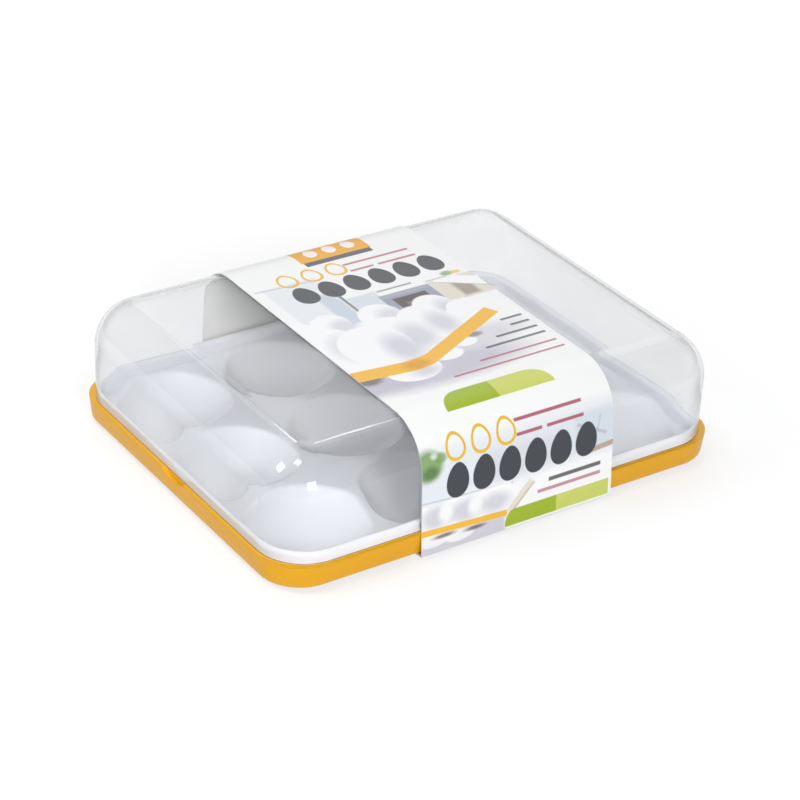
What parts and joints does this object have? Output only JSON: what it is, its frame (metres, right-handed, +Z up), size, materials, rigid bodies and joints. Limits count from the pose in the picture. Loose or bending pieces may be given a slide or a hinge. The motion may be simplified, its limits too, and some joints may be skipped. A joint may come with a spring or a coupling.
{
  "type": "egg holder tray",
  "caption": "Boxed egg holder: white pocket tray in a yellow base ring, clear lift-off lid with rounded shoulders, and a card sleeve around the middle.",
  "frame": {"origin": "centre of the rectangular footprint, on the surface that the box stands on", "axes": "+X along the long side, +Y towards the back, +Z up"},
  "size_m": [0.262, 0.2098, 0.069],
  "materials": {
    "ring": "moulded amber-yellow plastic, semi-gloss",
    "tray": "glossy white moulded plastic",
    "lid": "clear moulded plastic, polished",
    "sleeve": "thin white card, printed and satin varnished"
  },
  "bodies": {
    "base": {"base_ring": "ring", "egg_tray": "tray"},
    "lid": {"lid": "lid"},
    "sleeve": {"sleeve_wrap": "sleeve"},
    "sleeve_base": {"sleeve_bottom": "sleeve"}
  },
  "joints": [
    {"name": "lid_lift", "type": "slide", "parent": "base", "child": "lid", "axis": [0, 0, 1], "range_m": [0, 0.08]},
    {"name": "sleeve_slide", "type": "slide", "parent": "lid", "child": "sleeve", "axis": [1, 0, 0], "range_m": [0, 0.19]},
    {"name": "sleeve_bottom_slide", "type": "slide", "parent": "base", "child": "sleeve_base", "axis": [1, 0, 0], "range_m": [0, 0.19]}
  ],
  "couplings": [
    {"joint": "sleeve_bottom_slide", "follows": "sleeve_slide", "ratio": 1}
  ]
}
